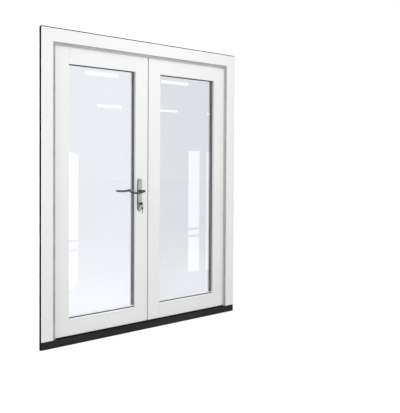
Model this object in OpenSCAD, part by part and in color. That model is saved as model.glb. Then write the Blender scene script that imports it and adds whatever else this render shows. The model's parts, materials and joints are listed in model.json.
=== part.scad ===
// Glazed french doors: a pair of leaves in their frame, with lock, hinges and seals.
// Millimetres, +Z up. X runs along the width, -Y is the outside face, Z is 0 under the sill.
// The leaves swing towards +Y. The active leaf is the one at -X.

/* [Set] */
// Width of the frame, without the sealing tape
set_w = 1790; // [1480:10:2200]
// Height of the frame, with its sill
set_h = 2090; // [1740:10:2520]
// Depth of the frame, from outside to inside
frame_d = 86; // [80:1:110]

/* [Frame] */
// Width of the flat outside face of the jambs and head
frame_face = 86; // [70:1:110]
// How far the stop lip stands past that face
lip_w = 16; // [12:1:24]
// Thickness of the stop lip
lip_t = 15; // [10:1:20]
// How far the lip lies behind the frame's outside face
lip_set = 10; // [6:0.5:12]
// How far the wedge seal rises off the lip at its tip
wedge_rise = 7; // [3:0.5:8]
// Height of the sill
sill_h = 52; // [35:1:80]
// Depth of the dark front profile of the sill
nosing_d = 28; // [15:1:40]
// Width of the black sealing tape round the frame
tape_w = 12; // [10:1:30]
// How far the tape stands off the frame
tape_t = 7; // [3:1:12]
// How far the tape is set back from the outside face
tape_set = 6; // [2:1:20]
// Diameter of the fixing holes in the jambs
fixing_d = 9; // [6:0.5:12]
// Distance between two fixing holes of a pair
fixing_pitch = 400; // [200:10:420]

/* [Leaves] */
// Thickness of a leaf
leaf_t = 62; // [58:1:80]
// How far a leaf's outside face lies behind the frame's
leaf_set = 18; // [17:1:24]
// Gap between a leaf and the frame behind the lip
edge_gap = 4; // [3:0.5:6]
// Gap between the two leaves
meet_gap = 8; // [7:0.5:12]
// Gap between a leaf and the sill
sill_gap = 6; // [5:0.5:10]
// Width of the hinge stiles and of the top rail
hinge_stile_w = 127; // [110:1:160]
// Width of the meeting stiles
meeting_stile_w = 112; // [108:1:150]
// Height of the bottom rail
bottom_rail_h = 115; // [90:1:220]
// Length of the rails' tenons
tenon_l = 50; // [30:1:60]
// Thickness of the rails' tenons
tenon_t = 18; // [12:1:24]

/* [Glazing] */
// Thickness of one pane
pane_t = 4; // [3:1:6]
// Thickness of the spacer between the panes
spacer_t = 12; // [8:1:14]
// Width of the spacer
spacer_w = 8; // [6:1:9]
// Depth of the timber in front of the glass
front_lip = 18; // [15:1:28]
// Thickness of the outer glazing seal
seal_front_t = 3; // [2:0.5:4]
// Thickness of the inner glazing seal
seal_back_t = 2; // [1:0.5:3]
// How far the glazing seals show past the timber
seal_show = 2.5; // [1:0.5:4]
// Height of the glazing rebate
rebate_h = 13; // [12:1:18]
// How far the rebate covers the glass
glass_cover = 10; // [9:1:12]
// Height of the sloping bead under the glass
weather_h = 15; // [10:1:25]
// How far that bead's nose stands off the leaf
weather_nose = 2; // [1:0.5:5]

/* [Hinges] */
// Height of a hinge
hinge_h = 100; // [80:1:140]
// Radius of the hinge knuckles
knuckle_r = 7; // [6:0.5:7.5]
// Radius of the hinge pins
hinge_pin_r = 3.5; // [2.5:0.5:4]
// Thickness of the hinge plates
plate_t = 2.5; // [2:0.5:3]
// Depth of the hinge plates
plate_d = 45; // [35:1:60]
// Distance from a leaf's end to the nearest hinge
hinge_end = 180; // [150:5:190]
// How far the hinge axis lies behind the frame
hinge_out = 8; // [7.8:0.1:12]

/* [Lock] */
// Height of the lever spindle above the underside of the sill
handle_z = 1014; // [950:1:1080]
// Distance from the spindle down to the lock cylinder
cylinder_drop = 92; // [90:1:100]
// Distance from the leaf's edge to the spindle
backset = 76; // [74:1:78]
// Width of the faceplate and of the groove behind it
face_w = 18; // [16:1:20]
// Thickness of the faceplate and of the strike plate
face_t = 3; // [2:0.5:4]
// Thickness of the drive rods and of the racks
rod_t = 3; // [2:0.5:3.5]
// Width of the drive rods
rod_w = 10; // [8:1:11]
// Radius of the shoot bolts
bolt_r = 5; // [4:0.5:5.5]
// Gear module of the rack and pinion
gear_m = 1.25; // [1:0.05:1.3]
// Number of teeth on the pinion
gear_n = 16; // [16:2:18]
// Height of the deadbolt
deadbolt_h = 28; // [20:1:30]
// Thickness of the deadbolt
deadbolt_t = 8; // [6:1:8]
// Throw of the deadbolt
deadbolt_throw = 20; // [14:1:20]

/* [Handle] */
// Length of a handle's backplate
backplate_l = 235; // [225:1:260]
// Width of a backplate
backplate_w = 38; // [34:1:44]
// Thickness of a backplate
backplate_t = 9; // [7:1:12]
// Distance from the spindle up to the backplate's top
backplate_up = 90; // [85:1:100]
// Distance from the backplate to the middle of the lever arm
lever_out = 46; // [44:1:60]
// Length of the lever, from its spindle to its tip
lever_l = 130; // [100:1:150]
// Radius of the lever's neck
neck_r = 9; // [8:0.5:10]
// Side of the square spindle
spindle_w = 8; // [7:1:10]

/* [Hidden] */
$fn = 48;

slip = 0.3;      // gap between pieces that slide on each other
fit = 0.06;      // radial clearance of a turning fit
snug = 0.02;     // radial clearance of a fixed round fit
beyond = 1;      // how far a cut runs past the face it opens

// frame
half_w = set_w / 2;
front_y = -frame_d / 2;
back_y = frame_d / 2;
rebate_x = half_w - frame_face;          // inner face of the jambs behind the lip
lip_x = rebate_x - lip_w;                // tip of the lip
rebate_z = set_h - frame_face;           // underside of the head behind the lip
lip_z = rebate_z - lip_w;
mitre = frame_face + lip_w + 10;         // reach of the mitre cut
keep_t = 3;
keep_w = 20;
keep_half = 34;                          // half the length of a bolt keep
keep_deep = 20;                          // depth of the bolt pockets
tape_round = 12;                         // radius of the tape's corners
frame_seal_w = 8;

// leaves, drawn on the active side and mirrored for the passive one
leaf_y = front_y + leaf_set;
leaf_back = leaf_y + leaf_t;
leaf_out = -(rebate_x - edge_gap);
leaf_in = -meet_gap / 2;
leaf_top = rebate_z - edge_gap;
leaf_bot = sill_h + sill_gap;
sight_out = leaf_out + hinge_stile_w;    // daylight opening of the active leaf
sight_in = leaf_in - meeting_stile_w;
sight_top = leaf_top - hinge_stile_w;
sight_bot = leaf_bot + bottom_rail_h;
mid_y = leaf_y + leaf_t / 2;
tenon_edge = 16;                         // timber left above and below a tenon

// glazing, from outside to inside
pane_y = leaf_y + front_lip + seal_front_t;
unit_t = 2 * pane_t + spacer_t;
bead_y = pane_y + unit_t + seal_back_t;
block_l = 80;
bead_chamfer = 4;

// hinges
axis_x = -(rebate_x - edge_gap / 2);
axis_y = max(back_y, leaf_back) + hinge_out;
plate_y = axis_y - plate_d;
screw_r = 2;
screw_head_r = 4.2;
screw_head_h = 2.2;
screw_l = 30;
hinge_z = [leaf_bot + hinge_end, (leaf_bot + leaf_top - hinge_h) / 2, leaf_top - hinge_end - hinge_h];
knuckle_gap = 0.5;
knuckle_h = (hinge_h - 2 * knuckle_gap) / 3;
screw_at = [0.15, 0.5, 0.85];            // places of the screws along a hinge
swing_r = norm([leaf_in - axis_x, axis_y - leaf_y]);      // from the axis to a leaf's outer meeting corner
meet_seal_y = [leaf_back - 20, leaf_back - 14];
// the seal between the leaves stops short of the path of the passive leaf's corner
meet_seal_x = [leaf_in - 5, -axis_x - sqrt(pow(swing_r, 2) - pow(axis_y - meet_seal_y[1], 2)) - slip];
fixing_mid = [for (k = [0, 1]) (hinge_z[k] + hinge_h + hinge_z[k + 1]) / 2];   // middles of the pairs
pin_cap_h = 2;
pin_cap_r = 6;

// lock
lock_x = leaf_in - backset;
cyl_z = handle_z - cylinder_drop;
groove_y = [mid_y - face_w / 2, mid_y + face_w / 2];
groove_d = 15;
case_wall = 1.5;
case_up = 48;
case_down = cylinder_drop + 32;
case_z = [handle_z - case_down, handle_z + case_up];
pitch_r = gear_m * gear_n / 2;
pitch = PI * gear_m;
bolt_travel = pitch_r * PI / 2;          // a quarter turn of the pinion
tooth_add = 0.8 * gear_m;
tooth_ded = 1.2 * gear_m;
tooth_half = 0.2 * pitch;                // half a tooth's thickness on the pitch line
tooth_lean = 0.36;                       // tangent of the tooth's flank angle
tooth_tip = tooth_half - tooth_add * tooth_lean;
tooth_foot = tooth_half + tooth_ded * tooth_lean;
rack_body = 4.5;
case_x = [lock_x - pitch_r - tooth_ded - rack_body - slip - case_wall, leaf_in - face_t];
rod_x = [leaf_in - face_t - slip - rod_w, leaf_in - face_t - slip];
rod_y = [groove_y[0] + case_wall + 1, groove_y[0] + case_wall + 1 + rod_t];
bolt_x = leaf_in - face_t - slip - bolt_r;
bolt_l = 60;                             // length of the round end of a shoot bolt
arm_h = 10;                              // height of the arms that join racks to rods
deadbolt_y = [rod_y[1] + 1.5, rod_y[1] + 1.5 + deadbolt_t];
deadbolt_z = [cyl_z + 3, cyl_z + 3 + deadbolt_h];
deadbolt_tail = 55;
hub_r = 9;

// cylinder, in the euro shape
cyl_r = 8.5;
cyl_w = 10;
cyl_low = 19.5;                          // from its axis to the middle of its round foot
plug_r = 6.5;
cam_r = 14;
cam_w = 8;
proud = 3;                               // how far the cylinder stands past the backplates
cyl_y = [leaf_y - backplate_t - proud, leaf_back + backplate_t + proud];
cam_gap = [deadbolt_y[0] - 0.5, deadbolt_y[1] + 0.5];
web_z = cyl_z - cam_r - 1.5;

// key, ring and spare key
key_t = 2;
blade_h = 7;
bow_r = 12;
bow_y = cyl_y[0] - 4 - bow_r;
spare_r = 10.5;
eye_r = 3;
eye_in = 6;                              // from a bow's middle to its eye
wire_r = 0.9;
ring_r = 11;
ring_y = bow_y - eye_in;
wire_gap = 0.2;
ring_z = cyl_z - eye_r + wire_r + wire_gap - ring_r;
spare_eye_z = ring_z - ring_r + wire_r + wire_gap - eye_r;
spare_z = spare_eye_z - eye_in + 1;
spare_blade = 28;

// flush bolts of the passive leaf
flush_l = 200;
knob_h = 14;
knob_w = 8;
knob_from = 50;                          // from the inner end of the plate to its knob

// handle
plate_down = max(backplate_l - backplate_up, cylinder_drop + cyl_low + cyl_w / 2 + 20);
plate_l = backplate_up + plate_down;
plate_mid = handle_z + backplate_up - plate_l / 2;
arm_y = leaf_y - backplate_t - lever_out;
screw_up = handle_z + (backplate_up + case_up) / 2 + 2;
screw_low = handle_z - plate_down + 11;
handle_screw_r = 2.5;

// a box from three pairs of limits
module block(x, y, z) {
    translate([x[0], y[0], z[0]]) cube([x[1] - x[0], y[1] - y[0], z[1] - z[0]]);
}
// a round bar along each axis
module bar_x(x, y, z, r) { translate([x[0], y, z]) rotate([0, 90, 0]) cylinder(h = x[1] - x[0], r = r); }
module bar_y(x, y, z, r) { translate([x, y[1], z]) rotate([90, 0, 0]) cylinder(h = y[1] - y[0], r = r); }
module bar_z(x, y, z, r) { translate([x, y, z[0]]) cylinder(h = z[1] - z[0], r = r); }
// an outline of [y, z] points, drawn out along x, and one of [x, z] points along y
module along_x(x, points) {
    translate([x[0], 0, 0]) rotate([90, 0, 90]) linear_extrude(x[1] - x[0]) polygon(points);
}
module along_y(y, points) {
    translate([0, y[1], 0]) rotate([90, 0, 0]) linear_extrude(y[1] - y[0]) polygon(points);
}
module passive() { mirror([1, 0, 0]) children(); }
module both_sides() {
    children();
    mirror([1, 0, 0]) children();
}

// ---- frame ----

function frame_outline() = [[0, 0], [frame_face, 0], [frame_face, lip_set], [frame_face + lip_w, lip_set],
    [frame_face + lip_w, lip_t], [frame_face, lip_t], [frame_face, frame_d], [0, frame_d]];
// the wedge seal that lies on the lip, thin beside the frame's face and thick at the lip's tip
function wedge_outline() = [[frame_face + 0.5, lip_set], [frame_face + lip_w, lip_set],
    [frame_face + lip_w, lip_set - wedge_rise], [frame_face + 0.5, lip_set - 0.5]];

// an outline of [across, depth] points, run up the jamb at -X or along the head, mitred at the corner
module up_jamb(points) {
    intersection() {
        translate([-half_w, front_y, sill_h]) linear_extrude(set_h - sill_h) polygon(points);
        along_y([front_y, back_y], [[-half_w, sill_h], [-half_w, set_h],
            [-half_w + mitre, set_h - mitre], [-half_w + mitre, sill_h]]);
    }
}
module along_head(points) {
    intersection() {
        along_x([-half_w, half_w], [for (p = points) [front_y + p[1], set_h - p[0]]]);
        along_y([front_y, back_y], [[-half_w, set_h], [half_w, set_h],
            [half_w - mitre, set_h - mitre], [-half_w + mitre, set_h - mitre]]);
    }
}

module jamb() {
    difference() {
        up_jamb(frame_outline());
        hinge_plate_cut();
        hinge_screw_set(-rebate_x, -1, snug);
        for (mid = fixing_mid, side = [-1, 1])
            bar_x([-half_w - beyond, -rebate_x + beyond], mid_y, mid + side * fixing_pitch / 2, fixing_d / 2);
    }
}

module hinge_plate_cut() {
    for (z = hinge_z)
        block([-rebate_x - plate_t, -rebate_x + beyond], [plate_y, back_y + beyond], [z, z + hinge_h]);
}

module jamb_left() { color("white") jamb(); }
module jamb_right() { color("white") mirror([1, 0, 0]) jamb(); }

module head() {
    color("white") difference() {
        along_head(frame_outline());
        block([-keep_half, keep_half], keep_y(), [rebate_z - beyond, rebate_z + keep_t]);
        both_sides() bar_z(bolt_x, mid_y, [rebate_z, rebate_z + keep_deep], bolt_r + 1);
    }
}

module sill_nosing() {
    step = 2;
    color([0.13, 0.13, 0.14]) along_x([-half_w, half_w], [[front_y, 0], [front_y + nosing_d, 0],
        [front_y + nosing_d, sill_h], [front_y + step + 1, sill_h], [front_y + step, sill_h * 0.56],
        [front_y, sill_h * 0.52]]);
}

module sill_base() {
    color([0.9, 0.9, 0.89]) difference() {
        block([-half_w, half_w], [front_y + nosing_d, back_y], [0, sill_h]);
        block([-keep_half, keep_half], keep_y(), [sill_h - keep_t, sill_h + beyond]);
        both_sides() bar_z(bolt_x, mid_y, [sill_h - keep_deep, sill_h], bolt_r + 1);
    }
}

module frame_seal() {
    y = [front_y + lip_t, leaf_y - slip];
    x0 = lip_x + 2;
    z0 = lip_z + 2;
    color([0.12, 0.12, 0.12]) {
        both_sides() block([-x0 - frame_seal_w, -x0], y, [sill_h, z0 + frame_seal_w]);
        block([-x0, x0], y, [z0, z0 + frame_seal_w]);
        both_sides() up_jamb(wedge_outline());
        along_head(wedge_outline());
    }
}

module perimeter_tape() {
    y = [front_y + tape_set, front_y + tape_set + tape_w];
    color([0.05, 0.05, 0.05]) difference() {
        union() {
            block([-half_w - tape_t, half_w + tape_t], y, [0, set_h + tape_t - tape_round]);
            block([-half_w - tape_t + tape_round, half_w + tape_t - tape_round], y, [0, set_h + tape_t]);
            both_sides() bar_y(-half_w - tape_t + tape_round, y, set_h + tape_t - tape_round, tape_round);
        }
        block([-half_w, half_w], [y[0] - beyond, y[1] + beyond], [-beyond, set_h]);
    }
}

function keep_y() = [mid_y - keep_w / 2, mid_y + keep_w / 2];

module keep(z) {
    difference() {
        block([-keep_half, keep_half], keep_y(), z);
        both_sides() bar_z(bolt_x, mid_y, [z[0] - beyond, z[1] + beyond], bolt_r + 0.5);
    }
}
module bolt_keeps() {
    color("silver") {
        keep([rebate_z, rebate_z + keep_t]);
        keep([sill_h - keep_t, sill_h]);
    }
}

// ---- hinges ----

// screws of one hinge side: dir is -1 into the frame and 1 into the leaf
module hinge_screw_set(face_x, dir, grow = 0) {
    for (z = hinge_z, part = screw_at)
        translate([face_x, plate_y + plate_d * 0.35, z + part * hinge_h])
        rotate([0, dir * 90, 0]) {
            cylinder(h = screw_head_h, r1 = screw_head_r + grow, r2 = screw_r + grow);
            cylinder(h = screw_l + grow, r = screw_r + grow);
        }
}

function knuckle_z(z, k) = [z + k * (knuckle_h + knuckle_gap), z + k * (knuckle_h + knuckle_gap) + knuckle_h];

module knuckles(places) {
    for (z = hinge_z, k = places)
        bar_z(axis_x, axis_y, knuckle_z(z, k), knuckle_r);
}

module frame_hinge_half() {
    difference() {
        union() {
            for (z = hinge_z) {
                block([-rebate_x - plate_t, -rebate_x], [plate_y, back_y], [z, z + hinge_h]);
                for (k = [0, 2])
                    block([-rebate_x - plate_t, -rebate_x], [back_y - beyond, axis_y], knuckle_z(z, k));
            }
            knuckles([0, 2]);
        }
        for (z = hinge_z) bar_z(axis_x, axis_y, [z - beyond, z + hinge_h + beyond], hinge_pin_r + snug);
        hinge_screw_set(-rebate_x, -1, snug);
    }
}

module leaf_hinge_half() {
    difference() {
        union() {
            for (z = hinge_z) {
                block([leaf_out, leaf_out + plate_t], [plate_y, leaf_back], [z, z + hinge_h]);
                block([leaf_out, leaf_out + plate_t], [leaf_back - beyond, axis_y], knuckle_z(z, 1));
            }
            knuckles([1]);
        }
        for (z = hinge_z) bar_z(axis_x, axis_y, [z - beyond, z + hinge_h + beyond], hinge_pin_r + fit);
        hinge_screw_set(leaf_out, 1, snug);
    }
}

module frame_hinge_leaves() { color("silver") both_sides() frame_hinge_half(); }
module active_hinge_leaves() { color("silver") leaf_hinge_half(); }
module passive_hinge_leaves() { color("silver") passive() leaf_hinge_half(); }
module frame_hinge_screws() { color("gray") both_sides() hinge_screw_set(-rebate_x, -1); }
module active_hinge_screws() { color("gray") hinge_screw_set(leaf_out, 1); }
module passive_hinge_screws() { color("gray") passive() hinge_screw_set(leaf_out, 1); }
module hinge_pins() {
    color("silver") both_sides() for (z = hinge_z) {
        bar_z(axis_x, axis_y, [z, z + hinge_h], hinge_pin_r);
        for (cap = [z - pin_cap_h, z + hinge_h]) bar_z(axis_x, axis_y, [cap, cap + pin_cap_h], pin_cap_r);
    }
}

// ---- leaf timber ----

function tenon_z(rail) = rail == "top" ? [sight_top + rebate_h + 4, leaf_top - tenon_edge]
    : [leaf_bot + tenon_edge, sight_bot - rebate_h - 4];
function tenon_y() = [mid_y - tenon_t / 2, mid_y + tenon_t / 2];

module hinge_stile() {
    difference() {
        block([leaf_out, sight_out], [leaf_y, leaf_back], [leaf_bot, leaf_top]);
        block([sight_out - rebate_h, sight_out + beyond], [leaf_y + front_lip, leaf_back + beyond],
            [sight_bot - rebate_h, sight_top + rebate_h]);
        for (rail = ["top", "bottom"])
            block([sight_out - tenon_l, sight_out + beyond], tenon_y(), tenon_z(rail));
        for (z = hinge_z)
            block([leaf_out - beyond, leaf_out + plate_t], [plate_y, leaf_back + beyond], [z, z + hinge_h]);
        hinge_screw_set(leaf_out, 1, snug);
    }
}

module meeting_stile() {
    difference() {
        block([sight_in, leaf_in], [leaf_y, leaf_back], [leaf_bot, leaf_top]);
        block([sight_in - beyond, sight_in + rebate_h], [leaf_y + front_lip, leaf_back + beyond],
            [sight_bot - rebate_h, sight_top + rebate_h]);
        for (rail = ["top", "bottom"])
            block([sight_in - beyond, sight_in + tenon_l], tenon_y(), tenon_z(rail));
    }
}

module rail(which) {
    top = which == "top";
    z = top ? [sight_top, leaf_top] : [leaf_bot, sight_bot];
    cut = top ? [sight_top - beyond, sight_top + rebate_h] : [sight_bot - rebate_h, sight_bot + beyond];
    difference() {
        union() {
            block([sight_out, sight_in], [leaf_y, leaf_back], z);
            block([sight_out - tenon_l, sight_in + tenon_l], tenon_y(), tenon_z(which));
        }
        block([sight_out - beyond, sight_in + beyond], [leaf_y + front_lip, leaf_back + beyond], cut);
        if (!top) block([sight_out - beyond, sight_in + beyond],
            [leaf_y - beyond, leaf_y + front_lip + beyond], [sight_bot - weather_h, sight_bot + beyond]);
    }
}

module weather_bead() {
    along_x([sight_out, sight_in], [[leaf_y - weather_nose, sight_bot - weather_h],
        [leaf_y + front_lip, sight_bot - weather_h], [leaf_y + front_lip, sight_bot],
        [leaf_y + front_lip - 3, sight_bot], [leaf_y - weather_nose, sight_bot - weather_h + 4]]);
}

// the section of a bead whose sight edge is at sight: out is 1 or -1, towards the timber
function bead_outline(sight, out) = [[sight + out * rebate_h, bead_y], [sight + out * rebate_h, leaf_back],
    [sight + out * bead_chamfer, leaf_back], [sight, leaf_back - bead_chamfer], [sight, bead_y]];

module beads() {
    for (b = [[sight_bot, -1], [sight_top, 1]])
        along_x([sight_out + slip, sight_in - slip], [for (p = bead_outline(b[0], b[1])) [p[1], p[0]]]);
    for (b = [[sight_out, -1], [sight_in, 1]])
        translate([0, 0, sight_bot - rebate_h]) linear_extrude(sight_top - sight_bot + 2 * rebate_h)
            polygon(bead_outline(b[0], b[1]));
}

// ---- glazing ----

// a flat ring round the daylight opening, from outside it to inside it
module ring(y, outside, inside) {
    difference() {
        block([sight_out - outside, sight_in + outside], y, [sight_bot - outside, sight_top + outside]);
        block([sight_out + inside, sight_in - inside], [y[0] - beyond, y[1] + beyond],
            [sight_bot + inside, sight_top - inside]);
    }
}
module panes() {
    for (y = [pane_y, pane_y + pane_t + spacer_t])
        block([sight_out - glass_cover, sight_in + glass_cover], [y, y + pane_t],
            [sight_bot - glass_cover, sight_top + glass_cover]);
}
module spacer() {
    inset = 1;
    ring([pane_y + pane_t, pane_y + pane_t + spacer_t], glass_cover - inset, spacer_w + inset - glass_cover);
}
module glazing_seals() {
    ring([pane_y - seal_front_t, pane_y], glass_cover, seal_show);
    ring([pane_y + unit_t, bead_y], glass_cover, seal_show);
}
module setting_blocks() {
    for (part = [0.2, 0.8]) {
        x = sight_out + part * (sight_in - sight_out);
        block([x - block_l / 2, x + block_l / 2], [pane_y, pane_y + unit_t],
            [sight_bot - rebate_h, sight_bot - glass_cover]);
    }
}
module bottom_seal() {
    block([leaf_out, leaf_in], [leaf_y + 4, leaf_y + 16], [sill_h + slip, leaf_bot]);
}

module active_hinge_stile() { color("white") hinge_stile(); }
module active_top_rail() { color("white") rail("top"); }
module active_bottom_rail() { color("white") rail("bottom"); }
module active_panes() { color([0.8, 0.88, 0.9, 0.35]) panes(); }
module active_spacer() { color("gray") spacer(); }
module active_glazing_seals() { color([0.1, 0.1, 0.1]) glazing_seals(); }
module active_setting_blocks() { color([0.2, 0.3, 0.6]) setting_blocks(); }
module active_beads() { color("white") beads(); }
module active_weather_bead() { color("white") weather_bead(); }
module active_bottom_seal() { color([0.1, 0.1, 0.1]) bottom_seal(); }
module passive_hinge_stile() { color("white") passive() hinge_stile(); }
module passive_top_rail() { color("white") passive() rail("top"); }
module passive_bottom_rail() { color("white") passive() rail("bottom"); }
module passive_panes() { color([0.8, 0.88, 0.9, 0.35]) passive() panes(); }
module passive_spacer() { color("gray") passive() spacer(); }
module passive_glazing_seals() { color([0.1, 0.1, 0.1]) passive() glazing_seals(); }
module passive_setting_blocks() { color([0.2, 0.3, 0.6]) passive() setting_blocks(); }
module passive_beads() { color("white") passive() beads(); }
module passive_weather_bead() { color("white") passive() weather_bead(); }
module passive_bottom_seal() { color([0.1, 0.1, 0.1]) passive() bottom_seal(); }

// ---- active leaf: lock ----

// the outline of the lock cylinder, drawn out along y
module euro(y, grow) {
    bar_y(lock_x, y, cyl_z, cyl_r + grow);
    block([lock_x - cyl_w / 2 - grow, lock_x + cyl_w / 2 + grow], y, [cyl_z - cyl_low, cyl_z]);
    bar_y(lock_x, y, cyl_z - cyl_low, cyl_w / 2 + grow);
}
function through() = [leaf_y - beyond, leaf_back + beyond];

module active_lock_stile() {
    color("white") difference() {
        meeting_stile();
        block([leaf_in - groove_d, leaf_in + beyond], groove_y, [leaf_bot - beyond, leaf_top + beyond]);
        block([case_x[0], leaf_in], groove_y, case_z);
        bar_y(lock_x, through(), handle_z, hub_r + 1);
        euro(through(), 1);
        for (z = [screw_up, screw_low]) bar_y(lock_x, through(), z, handle_screw_r + 0.5);
        meeting_seal_body();
    }
}

module meeting_seal_body() { block(meet_seal_x, meet_seal_y, [leaf_bot, leaf_top]); }
module meeting_seal() { color([0.92, 0.92, 0.92]) meeting_seal_body(); }

module lock_holes(y) {
    bar_y(lock_x, y, handle_z, hub_r + fit);
    euro(y, slip);
}
module lock_case() {
    inside = [case_x[0] + case_wall, case_x[1] + beyond];
    color([0.72, 0.72, 0.74]) difference() {
        block(case_x, [groove_y[0], groove_y[1] - case_wall], case_z);
        block(inside, [groove_y[0] + case_wall, groove_y[1]], [case_z[0] + case_wall, case_z[1] - case_wall]);
        block([rod_x[0] - slip, case_x[1] + beyond], [groove_y[0] + case_wall, groove_y[1]],
            [case_z[0] - beyond, case_z[1] + beyond]);
        lock_holes([groove_y[0] - beyond, groove_y[1] + beyond]);
    }
}
module lock_cover() {
    color([0.72, 0.72, 0.74]) difference() {
        block(case_x, [groove_y[1] - case_wall, groove_y[1]], case_z);
        lock_holes([groove_y[0], groove_y[1] + beyond]);
    }
}
module deadbolt_hole(x) {
    block(x, [deadbolt_y[0] - slip, deadbolt_y[1] + slip], [deadbolt_z[0] - slip, deadbolt_z[1] + slip]);
}
module lock_faceplate() {
    color("silver") difference() {
        block([leaf_in - face_t, leaf_in], groove_y, [leaf_bot, leaf_top]);
        deadbolt_hole([leaf_in - face_t - beyond, leaf_in + beyond]);
    }
}

// a rack beside the pinion: side is 1 towards the leaf's edge and -1 away from it
module rack(side, z) {
    tip = pitch_r - tooth_add;
    root = pitch_r + tooth_ded;
    y = rod_y;
    translate([lock_x, 0, 0]) {
        block(side > 0 ? [root, root + rack_body] : [-root - rack_body, -root], y, z);
        for (k = [-gear_n : gear_n]) {
            mid = handle_z + (k + 0.5) * pitch;      // a gap faces the pinion's tooth at rest
            if (mid + tooth_foot < z[1] && mid - tooth_foot > z[0])
                along_y(y, [[side * tip, mid - tooth_tip], [side * tip, mid + tooth_tip],
                    [side * (root + 0.1), mid + tooth_foot], [side * (root + 0.1), mid - tooth_foot]]);
        }
    }
}

module lock_pinion() {
    tip = pitch_r + tooth_add;
    root = pitch_r - tooth_ded;
    color([0.6, 0.6, 0.62]) difference() {
        union() {
            bar_y(lock_x, [rod_y[0], rod_y[1]], handle_z, root);
            bar_y(lock_x, [groove_y[0], rod_y[0]], handle_z, hub_r);
            bar_y(lock_x, [rod_y[1], groove_y[1]], handle_z, hub_r);
            for (k = [0 : gear_n - 1])
                translate([lock_x, 0, handle_z]) rotate([0, k * 360 / gear_n, 0])
                    along_y(rod_y, [[tip, -tooth_tip], [tip, tooth_tip],
                        [root - 0.4, tooth_foot], [root - 0.4, -tooth_foot]]);
        }
        square_hole(groove_y, 0.05);
    }
}
module square_hole(y, grow) {
    half = spindle_w / 2 + grow;
    block([lock_x - half, lock_x + half], [y[0] - beyond, y[1] + beyond], [handle_z - half, handle_z + half]);
}

// racks reach past the pinion's line by one end, and by the whole travel on the other
reach = 7;
rod_short = bolt_travel + 4;             // the flat rods stay inside the leaf at full throw
upper_rack_x = lock_x + pitch_r + tooth_ded;
lower_rack_x = lock_x - pitch_r - tooth_ded - rack_body;
upper_arm_z = [handle_z + hub_r + 8, handle_z + hub_r + 8 + arm_h];
lower_arm_z = [handle_z - bolt_travel - reach - 3 - arm_h, handle_z - bolt_travel - reach - 3];

module upper_rod() {
    color([0.65, 0.65, 0.68]) {
        rack(1, [handle_z - bolt_travel - reach, upper_arm_z[1]]);
        block([upper_rack_x, rod_x[1]], rod_y, upper_arm_z);
        block(rod_x, rod_y, [upper_arm_z[0], leaf_top - rod_short]);
        block([bolt_x - 2, bolt_x + 2], [rod_y[0], mid_y], [leaf_top - bolt_l, leaf_top - rod_short]);
        bar_z(bolt_x, mid_y, [leaf_top - bolt_l, leaf_top - slip], bolt_r);
    }
}
module lower_rod() {
    color([0.65, 0.65, 0.68]) {
        rack(-1, [lower_arm_z[0], handle_z + bolt_travel + reach]);
        block([lower_rack_x, rod_x[1]], rod_y, lower_arm_z);
        block(rod_x, rod_y, [leaf_bot + rod_short, lower_arm_z[1]]);
        block([bolt_x - 2, bolt_x + 2], [rod_y[0], mid_y], [leaf_bot + rod_short, leaf_bot + bolt_l]);
        bar_z(bolt_x, mid_y, [leaf_bot + slip, leaf_bot + bolt_l], bolt_r);
    }
}

module deadbolt() {
    color("silver") block([leaf_in - 0.5 - deadbolt_tail, leaf_in - 0.5], deadbolt_y, deadbolt_z);
}

module cylinder_body() {
    color([0.75, 0.73, 0.68]) difference() {
        euro(cyl_y, 0);
        bar_y(lock_x, [cyl_y[0] - beyond, cyl_y[1] + beyond], cyl_z, plug_r + fit);
        block([lock_x - cyl_r - beyond, lock_x + cyl_r + beyond], cam_gap, [web_z, cyl_z + cyl_r + beyond]);
    }
}

module blade_slot(grow) {
    block([lock_x - key_t / 2 - grow, lock_x + key_t / 2 + grow], [cyl_y[0] - beyond, cyl_y[0] + 26 + grow],
        [cyl_z - blade_h / 2 - grow, cyl_z + blade_h / 2 + grow]);
}

module cylinder_plug() {
    color([0.8, 0.76, 0.6]) difference() {
        union() {
            bar_y(lock_x, cyl_y, cyl_z, plug_r);
            bar_y(lock_x, deadbolt_y, cyl_z, cyl_r - 0.5);
            block([lock_x - cam_w / 2, lock_x + cam_w / 2], deadbolt_y, [cyl_z - cam_r, cyl_z]);
        }
        blade_slot(0.1);
    }
}

// a bow is a flat round head with an eye near its rim
module bow(y, z, r, eye_y, eye_z) {
    difference() {
        bar_x([lock_x - key_t / 2, lock_x + key_t / 2], y, z, r);
        bar_x([lock_x - key_t, lock_x + key_t], eye_y, eye_z, eye_r);
    }
}
module key() {
    color([0.7, 0.7, 0.72]) {
        bow(bow_y, cyl_z, bow_r, bow_y - eye_in, cyl_z);
        block([lock_x - key_t / 2, lock_x + key_t / 2], [bow_y + bow_r - 2, cyl_y[0] + 26],
            [cyl_z - blade_h / 2, cyl_z + blade_h / 2]);
    }
}
module key_ring() {
    color("silver") translate([lock_x, ring_y, ring_z]) rotate([90, 0, 0])
        rotate_extrude() translate([ring_r, 0]) circle(r = wire_r, $fn = 24);
}
module spare_key() {
    color([0.7, 0.7, 0.72]) {
        bow(ring_y, spare_z, spare_r, ring_y, spare_eye_z);
        block([lock_x - key_t / 2, lock_x + key_t / 2], [ring_y - blade_h / 2, ring_y + blade_h / 2],
            [spare_z - spare_r - spare_blade, spare_z - spare_r + 2]);
    }
}

// ---- active leaf: handle ----

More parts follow.
